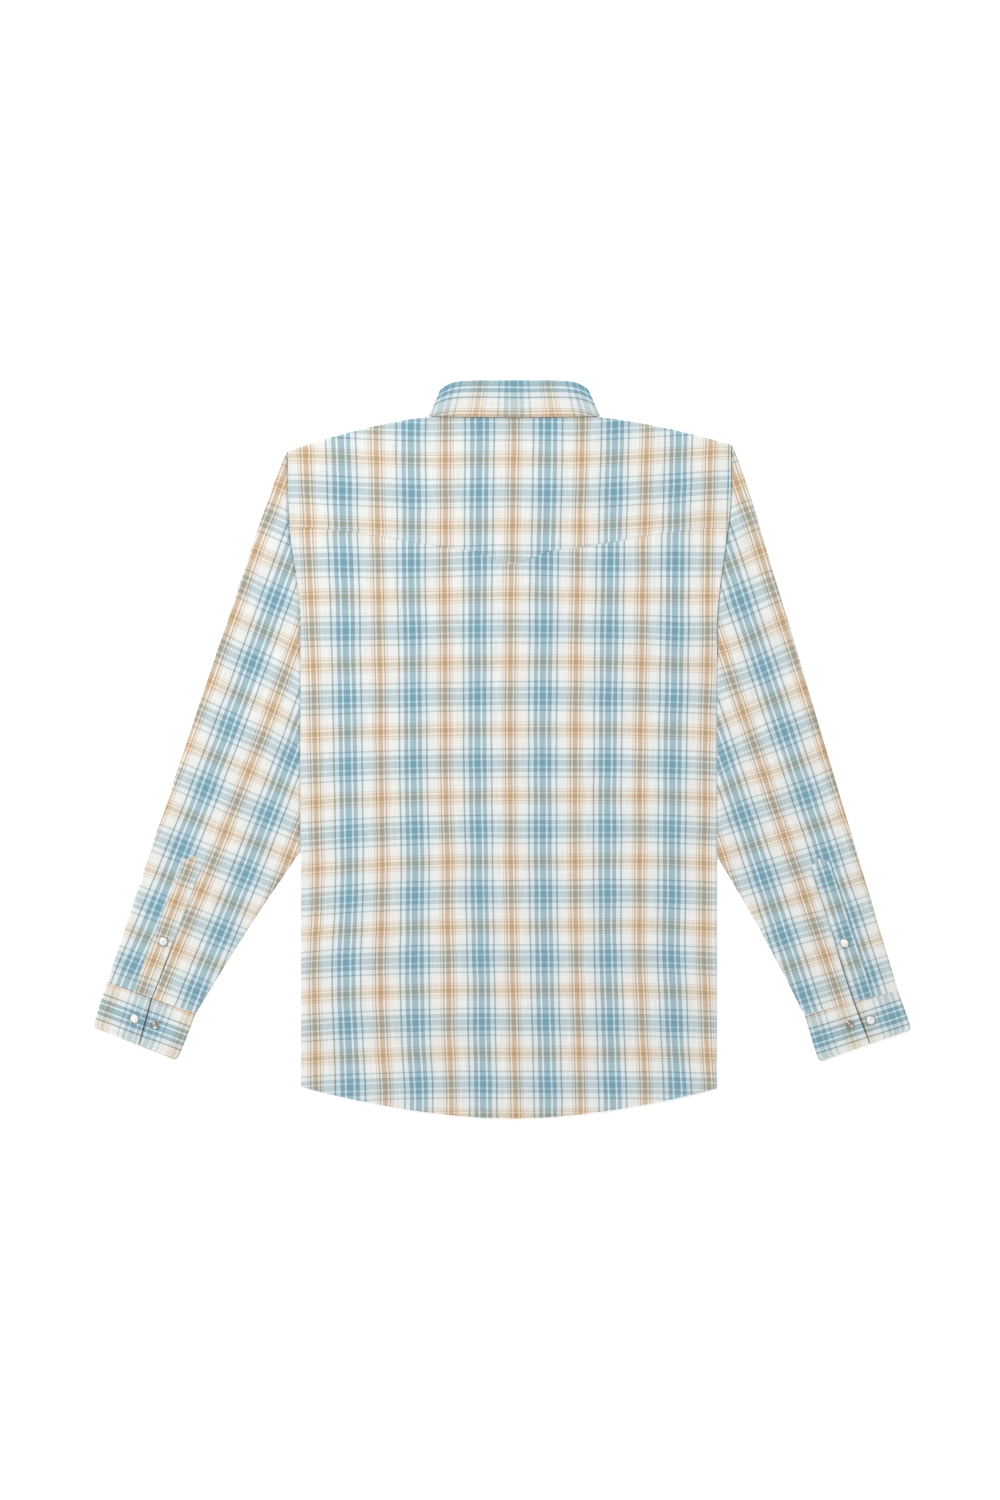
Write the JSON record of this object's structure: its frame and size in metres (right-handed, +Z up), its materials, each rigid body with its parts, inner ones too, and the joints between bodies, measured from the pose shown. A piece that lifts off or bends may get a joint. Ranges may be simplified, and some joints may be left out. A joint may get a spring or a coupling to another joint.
{
  "type": "button-up shirt",
  "caption": "Long-sleeved plaid western shirt with pearl snaps, laid flat with its back up, its pointed back yoke showing and its sleeves spread beside the body.",
  "frame": {"origin": "bottom centre of the whole shirt's box, on the surface that it lies on", "axes": "+X towards the wearer's right, +Y towards the collar, +Z up, out of the shirt's back"},
  "size_m": [0.897, 0.8104, 0.0137],
  "materials": {
    "plaid_cotton": "yarn-dyed plain-weave cotton, blue and tan plaid on off-white, matt",
    "pearl": "white pearl resin cap in a bright metal rim",
    "snap_metal": "nickel-plated snap stud"
  },
  "bodies": {
    "root": {"back_panel": "plaid_cotton", "back_yoke": "plaid_cotton", "left_front": "plaid_cotton", "right_front": "plaid_cotton", "front_placket": "plaid_cotton", "left_sleeve": "plaid_cotton", "right_sleeve": "plaid_cotton", "left_cuff": "plaid_cotton", "right_cuff": "plaid_cotton", "left_sleeve_placket": "plaid_cotton", "right_sleeve_placket": "plaid_cotton", "collar_stand": "plaid_cotton", "collar_leaf": "plaid_cotton", "left_cuff_snap": "pearl", "right_cuff_snap": "pearl", "left_placket_snap": "pearl", "right_placket_snap": "pearl", "front_snap_1": "pearl", "front_snap_2": "pearl", "front_snap_3": "pearl", "front_snap_4": "pearl", "front_snap_5": "pearl", "front_snap_6": "pearl", "front_snap_7": "pearl", "collar_snap": "pearl", "left_cuff_stud": "snap_metal", "right_cuff_stud": "snap_metal"}
  },
  "joints": []
}
